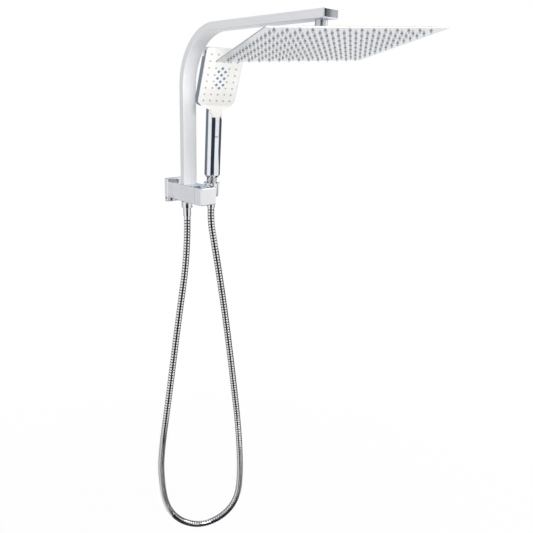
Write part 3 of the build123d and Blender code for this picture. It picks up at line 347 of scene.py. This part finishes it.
# The collar and upper taper take the painted shade, and the lower tip takes the painted light.
for face in rain_tips.data.polygons:
    face.material_index = 1 if face.center.z < -0.3 * NOZZLE_LENGTH else 0
for direction in ((NOZZLE_PITCH, 0, 0), (0, NOZZLE_PITCH, 0)):
    row = rain_tips.modifiers.new("row", "ARRAY")
    row.use_relative_offset = False
    row.use_constant_offset = True
    row.constant_offset_displace = direction
    row.count = NOZZLE_ROWS
    bpy.ops.object.modifier_apply(modifier="row")
rain_tips.data.transform(head_place @ Matrix.Translation((0, 0, PLATE_BOTTOM)))
bpy.ops.object.shade_smooth_by_angle(angle=math.radians(NOZZLE_SMOOTH_DEG))
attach(rain_tips, "rain_head")
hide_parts("rain_nozzles")

# Handset holder: a chromed brass cup with a slot for the hose, screwed to the body's side.
# Its bore tapers like the hose's conical nut, which stands in it.
polished("handset_holder", fitting_chrome, 0.3)

# Hose fittings: turned and chromed brass, the round nut on the nipple of the body's outlet,
# the conical nut under the handset, rubbed dull by its holder and drawn darker as a painted shade in it, and the
# two ferrules on the hose's ends.
polished("hose_outlet_nut", fitting_chrome, 0.2)
paint(fitting_chrome, "hose_outlet_nipple")
# The conical nut's plate is drawn darker, a painted shade in the holder, and rougher where the holder rubs it.
cone_shaded_chrome = chrome_plate("chrome_cone_painted_shade", "#c6c8cb", "#bbbdc1", 8, 0.18)
polished("hose_cone_nut", cone_shaded_chrome, 0.2)
ferrules = [polished(end, fitting_chrome, 0.2) for end in ("hose_ferrule_lower", "hose_ferrule_upper")]

# Hose: stainless strip wound over a rubber liner, its turns seven millimetres apart.
# It hangs from the body's outlet in one long loop and comes up into the conical nut.
HOSE_R, HOSE_SHOULDER_R, HOSE_GROOVE_R, TURN, HOSE_LENGTH = 0.008, 0.0078, 0.0067, 0.007, 1.88
hose_route = [
    (0, -0.050, -0.0595), (0, -0.050, -0.150), (-0.024, -0.043, -0.315), (-0.052, -0.035, -0.525),
    (-0.074, -0.026, -0.690), (-0.075, -0.026, -0.758), (-0.066, -0.029, -0.844), (-0.035, -0.042, -0.900),
    (0.018, -0.066, -0.930), (0.077, -0.092, -0.915), (0.114, -0.110, -0.864), (0.121, -0.113, -0.783),
    (0.117, -0.110, -0.660), (0.100, -0.105, -0.500), (0.079, -0.099, -0.325), (0.0605, -0.0965, -0.205),
    (0.047, -0.0925, -0.118), (0.040, -0.08909, -0.06789), (0.040, -0.09093, -0.03594),
]
hose_curve = bpy.data.curves.new("hose_line", "CURVE")
hose_curve.dimensions = "3D"
spline = hose_curve.splines.new("NURBS")
spline.points.add(len(hose_route) - 1)
for point, spot in zip(spline.points, hose_route):
    point.co = (*spot, 1)
spline.order_u = 3
spline.use_endpoint_u = True
spline.resolution_u = 40
hose_object = bpy.data.objects.new("hose_line", hose_curve)
bpy.context.scene.collection.objects.link(hose_object)
bpy.context.view_layer.update()
line_mesh = bpy.data.meshes.new_from_object(hose_object)
line = [v.co.copy() for v in line_mesh.vertices]
bpy.data.objects.remove(hose_object)
bpy.data.meshes.remove(line_mesh)

travel = [0.0]
for a, b in zip(line, line[1:]):
    travel.append(travel[-1] + (b - a).length)
hose_length = travel[-1]


def hose_at(distance):
    """Point and direction of the hose's centreline at a distance along it."""
    distance = min(max(distance, 0), hose_length)
    i = next((k for k in range(1, len(travel)) if travel[k] >= distance), len(travel) - 1)
    share = (distance - travel[i - 1]) / (travel[i] - travel[i - 1])
    return line[i - 1].lerp(line[i], share), (line[i] - line[i - 1]).normalized()


PLAIN_END, SIDES = 0.004, 20
turns = round((hose_length - 2 * PLAIN_END) / TURN)
turn_length = (hose_length - 2 * PLAIN_END) / turns
turn_profile = ((0.0, HOSE_R), (0.62, HOSE_R), (0.66, HOSE_SHOULDER_R), (0.70, HOSE_GROOVE_R),
                (0.92, HOSE_GROOVE_R), (0.96, HOSE_SHOULDER_R))
hose_rings = [(0, HOSE_R)]
for turn in range(turns):
    start = PLAIN_END + turn * turn_length
    hose_rings += [(start + share * turn_length, radius) for share, radius in turn_profile]
hose_rings += [(hose_length - PLAIN_END, HOSE_R), (hose_length, HOSE_R)]
across_loop = Vector((0.4, 0.9, 0))
hose_points, hose_faces, groove_shade_depth = [], [], []
for distance, radius in hose_rings:
    centre, along = hose_at(distance)
    side = across_loop.cross(along).normalized()
    out = along.cross(side)
    for k in range(SIDES):
        angle = 2 * math.pi * k / SIDES
        hose_points.append(centre + radius * (math.cos(angle) * side + math.sin(angle) * out))
        groove_shade_depth.append((HOSE_R - radius) / (HOSE_R - HOSE_GROOVE_R))
for ring in range(len(hose_rings) - 1):
    for k in range(SIDES):
        a, b = ring * SIDES + k, ring * SIDES + (k + 1) % SIDES
        hose_faces.append((a, b, b + SIDES, a + SIDES))
hose_faces.append(tuple(reversed(range(SIDES))))
hose_faces.append(tuple(range(len(hose_points) - SIDES, len(hose_points))))
hose_mesh = bpy.data.meshes.new("shower_hose_winding")
hose_mesh.from_pydata(hose_points, [], hose_faces)
# Each point keeps how deep it lies in a groove, which the finish paints as shade.
groove_shade_mark = hose_mesh.attributes.new("groove_shade", "FLOAT", "POINT")
groove_shade_mark.data.foreach_set("value", groove_shade_depth)
hose = bpy.data.objects.new("shower_hose_winding", hose_mesh)
bpy.context.scene.collection.objects.link(hose)
bpy.ops.object.select_all(action="DESELECT")
hose.select_set(True)
bpy.context.view_layer.objects.active = hose
bpy.ops.object.mode_set(mode="EDIT")
bpy.ops.mesh.select_all(action="SELECT")
bpy.ops.mesh.normals_make_consistent(inside=False)
bpy.ops.object.mode_set(mode="OBJECT")
bpy.ops.object.shade_smooth_by_angle(angle=math.radians(30))

wound_steel, place = new_finish("wound_stainless_strip")
# The hollows between the turns are painted dark by their depth, a painted shade; the crowns keep the strip's pale
# steel.
groove_shade = add(wound_steel, "Attribute", attribute_name="groove_shade")
strip = add(wound_steel, "ValToRGB", {"Fac": groove_shade.outputs["Fac"]})
strip.color_ramp.elements[0].color = hex_colour("#ececed")
strip.color_ramp.elements[1].color = hex_colour("#26282d")
strip.color_ramp.elements[1].position = 0.3
worn = add(wound_steel, "TexNoise", {"Vector": place, "Scale": 1000 / 6, "Detail": 3})
gloss = add(wound_steel, "MapRange", {"Value": worn.outputs["Fac"], "To Min": 0.03, "To Max": 0.09})
winding = add(wound_steel, "BsdfPrincipled", {"Base Color": strip.outputs["Color"], "Metallic": 1,
                                              "Roughness": gloss.outputs["Result"]})
add(wound_steel, "OutputMaterial", {"Surface": winding.outputs["BSDF"]})
hose_mesh.materials.append(wound_steel)
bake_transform(hose)
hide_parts("shower_hose")

# Handset body: one ABS moulding, chromed like the brass, with the handle and the back shell.
# The push button in the handle's front is chromed ABS too, on a small steel spring.
# Its slot is painted dark, a painted shade for the gap round the button, and shows as a line under the button's
# foot.
LEAN, YAW = math.radians(3.3), math.radians(-16)
HANDLE_FOOT = Vector((0.040, -0.093, 0))
SLOT_LOW, SLOT_HIGH, SLOT_REACH, FOOT_GAP = 0.128, 0.170, 0.0172, 0.0013
handle_up = Vector((0, -math.sin(LEAN), math.cos(LEAN)))
handle_across = Vector((math.cos(YAW), math.sin(YAW) * math.cos(LEAN), math.sin(YAW) * math.sin(LEAN)))
handle_out = -handle_up.cross(handle_across)
slot_shade_abs, place = new_finish("slot_painted_shade")
mould = add(slot_shade_abs, "TexNoise", {"Vector": place, "Scale": 1000 / 1.5, "Detail": 3})
shade = add(slot_shade_abs, "ValToRGB", {"Fac": mould.outputs["Fac"]})
shade.color_ramp.elements[0].color = hex_colour("#1c1d20")
shade.color_ramp.elements[1].color = hex_colour("#2e2f33")
slot_shade = add(slot_shade_abs, "BsdfPrincipled", {"Base Color": shade.outputs["Color"], "Roughness": 0.5, "IOR": 1.53})
add(slot_shade_abs, "OutputMaterial", {"Surface": slot_shade.outputs["BSDF"]})
plated_abs = chrome_plate("chrome_plated_abs", "#eeeeee", "#e6e7e9", 18, 0.04)
shell = polished("handset_body", plated_abs, 0.4)
shell.data.materials.append(slot_shade_abs)
# Faces inside the button's slot take the painted shade.
for face in shell.data.polygons:
    height = (face.center - HANDLE_FOOT).dot(handle_up)
    reach = (face.center - HANDLE_FOOT - height * handle_up).length
    if SLOT_LOW < height < SLOT_HIGH and reach < SLOT_REACH:
        face.material_index = 1
button = polished("mode_button", plated_abs, 0.3)
for point in button.data.vertices:
    if (point.co - HANDLE_FOOT).dot(handle_up) < (SLOT_LOW + SLOT_HIGH) / 2:
        point.co += FOOT_GAP * handle_up
spring_wire_painted_coils, place = new_finish("spring_wire_painted_coils")
# The wire is banded light and dark along the spring, a painted highlight and shade of its coils.
coil_light_and_shade = add(spring_wire_painted_coils, "TexWave", {"Vector": place, "Scale": 1000 / 1.2 / 20}, bands_direction="Y")
shade = add(spring_wire_painted_coils, "ValToRGB", {"Fac": coil_light_and_shade.outputs["Fac"]})
shade.color_ramp.elements[0].color = hex_colour("#6e7075")
shade.color_ramp.elements[1].color = hex_colour("#b9bbc0")
wire = add(spring_wire_painted_coils, "BsdfPrincipled", {"Base Color": shade.outputs["Color"], "Metallic": 1,
                                           "Roughness": 0.3})
add(spring_wire_painted_coils, "OutputMaterial", {"Surface": wire.outputs["BSDF"]})
paint(spring_wire_painted_coils, "button_spring")

# Spray face: glossy off-white ABS, moulded, with the faintest orange peel.
# It bends at its foot into a chin that runs out on the handle.
white_abs, place = new_finish("off_white_abs")
peel = add(white_abs, "TexNoise", {"Vector": place, "Scale": 1000 / 2.5, "Detail": 2})
shade = add(white_abs, "ValToRGB", {"Fac": peel.outputs["Fac"]})
shade.color_ramp.elements[0].color = hex_colour("#efeeeb")
shade.color_ramp.elements[1].color = hex_colour("#f6f5f2")
skin = add(white_abs, "Bump", {"Height": peel.outputs["Fac"], "Strength": 0.05, "Distance": 0.0001})
glossy = add(white_abs, "BsdfPrincipled", {"Base Color": shade.outputs["Color"], "Roughness": 0.3, "IOR": 1.53,
                                           "Normal": skin.outputs["Normal"]})
add(white_abs, "OutputMaterial", {"Surface": glossy.outputs["BSDF"]})
polished("handset_face", white_abs, 0.5)

# Spray nozzles: grey silicone over the face, and blue-grey jets in the middle of it.
# They lie on a grid in the face's own plane, which leans out from the handle.
FACE_LEAN, FACE_OUT, FACE_HEIGHT, SPRAY_PITCH = math.radians(25), 0.0361, 0.260, 0.0154
spray_out = handle_out * math.cos(FACE_LEAN) - handle_up * math.sin(FACE_LEAN)
spray_centre = HANDLE_FOOT + handle_out * FACE_OUT + handle_up * FACE_HEIGHT
spray_up = handle_across.cross(spray_out)
spray_axes = Matrix((handle_across, spray_up, -spray_out)).transposed()
spray_place = Matrix.Translation(spray_centre) @ spray_axes.to_4x4()
jet_spots = [(2, row) for row in range(2, 6)]
jet_spots += [(col, row + 0.5) for row in range(2, 5) for col in (1.5, 2.5)]
spray_spots = [(col, row) for row in range(8) for col in range(5) if (col, row) not in jet_spots]


def spray_field(name, spots, collar, tip, length, sides, finish, node):
    """Copies of one nozzle at their places on the spray face, joined into one piece."""
    copies = [nozzle(name, (col - 2) * SPRAY_PITCH, (3.5 - row) * SPRAY_PITCH, collar, tip, length, sides)
              for col, row in spots]
    bpy.ops.object.select_all(action="DESELECT")
    for copy in copies:
        copy.select_set(True)
    bpy.context.view_layer.objects.active = copies[0]
    bpy.ops.object.join()
    field = bpy.context.object
    field.name = name
    field.data.transform(spray_place)
    bpy.ops.object.mode_set(mode="EDIT")
    bpy.ops.mesh.select_all(action="SELECT")
    bpy.ops.mesh.normals_make_consistent(inside=False)
    bpy.ops.object.mode_set(mode="OBJECT")
    bpy.ops.object.shade_smooth_by_angle(angle=math.radians(NOZZLE_SMOOTH_DEG))
    field.data.materials.append(finish)
    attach(field, "handset")
    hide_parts(node)


face_grey = silicone("pale_grey_silicone", "#a9aaa8", "#c0c1be")
jet_blue = silicone("blue_grey_silicone", "#5f7c9e", "#7d97b5")
spray_field("handset_spray_tips", spray_spots, 0.0021, 0.0013, 0.0012, 12, face_grey,
            "handset_nozzles")
spray_field("handset_jet_tips", jet_spots, 0.0030, 0.0019, 0.0012, 14, jet_blue,
            "handset_jets")

# Studio: a pale floor two metres under the rain head, two broad lamps and a white surround.
# Cards round the object, some of them close to the handset, give the chrome its dark bands.
FLOOR_Z, FLOOR_NEAR, FLOOR_FAR = -1.75, 1.2, 2.6


def background_share(material):
    """One for the rays that look at the background: the camera's, and those off metal and through glass."""
    ray = add(material, "LightPath")
    share = add(material, "Math", {0: ray.outputs["Is Camera Ray"], 1: ray.outputs["Is Glossy Ray"]},
                operation="MAXIMUM")
    share = add(material, "Math", {0: share.outputs["Value"], 1: ray.outputs["Is Transmission Ray"]},
                operation="MAXIMUM")
    return share.outputs["Value"]


bpy.ops.object.select_all(action="DESELECT")
bpy.ops.mesh.primitive_plane_add(size=30, location=(0, 0, FLOOR_Z))
floor = bpy.context.object
floor.name = "studio_floor"
pale_floor, place = new_finish("pale_floor")
matt = add(pale_floor, "BsdfDiffuse", {"Color": hex_colour("#f4f4f4")})
glow = add(pale_floor, "Emission", {"Color": hex_colour("#ffffff"), "Strength": 1})
spread = add(pale_floor, "VectorMath", {0: place}, operation="LENGTH")
fade = add(pale_floor, "MapRange", {"Value": spread.outputs["Value"], "From Min": FLOOR_NEAR, "From Max": FLOOR_FAR,
                                    "To Min": 0.95, "To Max": 1.0})
bright = add(pale_floor, "Math", {0: background_share(pale_floor), 1: fade.outputs["Result"]}, operation="MULTIPLY")
ground = add(pale_floor, "MixShader", {0: bright.outputs["Value"], 1: matt.outputs["BSDF"],
                                       2: glow.outputs["Emission"]})
add(pale_floor, "OutputMaterial", {"Surface": ground.outputs["Shader"]})
floor.data.materials.append(pale_floor)


def card(name, left, right, low, high, tone, one_sided=False, foot=0.0):
    """A card that only polished metal sees, from both sides or from its front, its foot moved along Y."""
    mesh = bpy.data.meshes.new(name)
    corners = [(left[0], left[1] + foot, low), (right[0], right[1] + foot, low), (*right, high), (*left, high)]
    mesh.from_pydata(corners, [], [(0, 1, 2, 3)])
    piece = bpy.data.objects.new(name, mesh)
    bpy.context.scene.collection.objects.link(piece)
    piece.visible_camera = False
    piece.visible_diffuse = False
    piece.visible_shadow = False
    paper, _ = new_finish(name)
    surface = add(paper, "Emission", {"Color": hex_colour(tone), "Strength": 1}).outputs["Emission"]
    if one_sided:
        back = add(paper, "NewGeometry").outputs["Backfacing"]
        clear = add(paper, "BsdfTransparent").outputs["BSDF"]
        surface = add(paper, "MixShader", {0: back, 1: surface, 2: clear}).outputs["Shader"]
    add(paper, "OutputMaterial", {"Surface": surface})
    mesh.materials.append(paper)


card("card_handle_navy", (-0.20, -0.215), (-0.014, -0.359), -0.012, 0.19, "#2c3c50")
card("card_handle_left", (-0.021, -0.0735), (0.0225, -0.0735), 0.026, 0.205, "#727c89", True)
card("card_head_left", (-0.034, -0.088), (0.004, -0.088), 0.185, 0.31, "#858e9c", True)
card("card_dark_high", (-0.62, -0.86), (-0.10, -1.25), 0.20, 1.2, "#33465a")
card("card_dark_low", (-0.96, -0.51), (-0.12, -1.20), FLOOR_Z, -0.203, "#10161d")
card("card_left_pale", (-1.35, 0.47), (-0.42, 1.07), FLOOR_Z, 2.0, "#e4e4e8")
card("card_left_high", (-0.42, 1.07), (-0.05, 1.07), 0.20, 2.0, "#7b8898")
card("card_left_middle", (-0.42, 1.07), (0.52, 1.07), -0.20, 0.20, "#626d7b")
card("card_left_low", (-0.42, 1.07), (0.52, 1.07), FLOOR_Z, -0.20, "#2f3843")
card("card_back_dark", (-0.40, 1.05), (0.52, 1.05), 0.7, 1.7, "#1f2a36")
card("card_back_blue", (0.60, 1.10), (1.30, 0.80), 0.18, 0.95, "#bac8d9")
card("card_right_high", (1.045, -0.84), (1.0, -0.15), -0.13, 2.0, "#4a5460")
card("card_right_low", (1.045, -0.84), (1.0, -0.15), FLOOR_Z, -0.30, "#3a434e")
card("card_handle_right", (0.13, -0.135), (0.11, -0.05), 0.022, 0.165, "#4a5460")
card("card_hose_right", (0.30, -0.125), (0.25, 0.04), -1.2, -0.085, "#1f262f")
card("card_loop_dark", (-0.16, -0.42), (0.24, -0.42), -1.25, -0.90, "#1a222b", foot=0.5)
card("card_cap_black", (0.60, -1.198), (0.7256, -1.198), 0.40, 0.60, "#15181c")
card("card_cap_grey", (0.7256, -1.198), (0.748, -1.198), 0.40, 0.60, "#7c7e83")
card("card_cap_pale", (0.748, -1.198), (0.90, -1.198), 0.40, 0.60, "#c4c6c9")

world = bpy.data.worlds.new("studio_surround")
bpy.context.scene.world = world
world.use_nodes = True
world.node_tree.nodes.clear()
fill = add(world, "Background", {"Color": hex_colour("#ffffff"), "Strength": 0.6})
white = add(world, "Background", {"Color": hex_colour("#ffffff"), "Strength": 1})
both = add(world, "MixShader", {0: background_share(world), 1: fill.outputs["Background"],
                                2: white.outputs["Background"]})
add(world, "OutputWorld", {"Surface": both.outputs["Shader"]})


def lamp(name, place, aim, size, watts):
    """A broad soft lamp, turned towards a point."""
    light = bpy.data.lights.new(name, "AREA")
    light.shape = "RECTANGLE"
    light.size, light.size_y = size
    light.energy = watts
    piece = bpy.data.objects.new(name, light)
    bpy.context.scene.collection.objects.link(piece)
    piece.location = place
    piece.rotation_euler = (Vector(aim) - Vector(place)).to_track_quat("-Z", "Y").to_euler()
    piece.visible_camera = False


lamp("key_lamp", (-0.8, -2.8, 1.6), (0, -0.2, 0), (1.4, 1.4), 80)
lamp("fill_lamp", (1.9, -1.6, 1.0), (0, -0.2, 0), (1.4, 1.8), 18)

# Camera: where the photograph was taken from, a little lower than the rain head, looking slightly down.
# The picture is square, and its optical axis lies slightly above the middle.
AZIMUTH, PITCH, ROLL = math.radians(-41.15334), math.radians(-14.24783), math.radians(1.27406)
FOCAL_PX, FRAME_PX, AXIS_PX, SENSOR_MM = 581.3208, 533, 240, 36
STAND = Vector((-0.750552, -1.197914, 0.230584))
ahead = Vector((-math.sin(AZIMUTH) * math.cos(PITCH), math.cos(AZIMUTH) * math.cos(PITCH), math.sin(PITCH)))
rightward = ahead.cross(Vector((0, 0, 1))).normalized()
above = rightward.cross(ahead)
cam_x = rightward * math.cos(ROLL) + above * math.sin(ROLL)
cam_y = above * math.cos(ROLL) - rightward * math.sin(ROLL)
lens = bpy.data.cameras.new("photo_camera")
lens.sensor_width = SENSOR_MM
lens.lens = FOCAL_PX / FRAME_PX * SENSOR_MM
lens.shift_y = (AXIS_PX - FRAME_PX / 2) / FRAME_PX
lens.clip_start = 0.05
camera = bpy.data.objects.new("photo_camera", lens)
bpy.context.scene.collection.objects.link(camera)
camera.matrix_world = Matrix.Translation(STAND) @ Matrix((cam_x, cam_y, -ahead)).transposed().to_4x4()
bpy.context.scene.camera = camera
bpy.context.scene.view_settings.view_transform = "Standard"
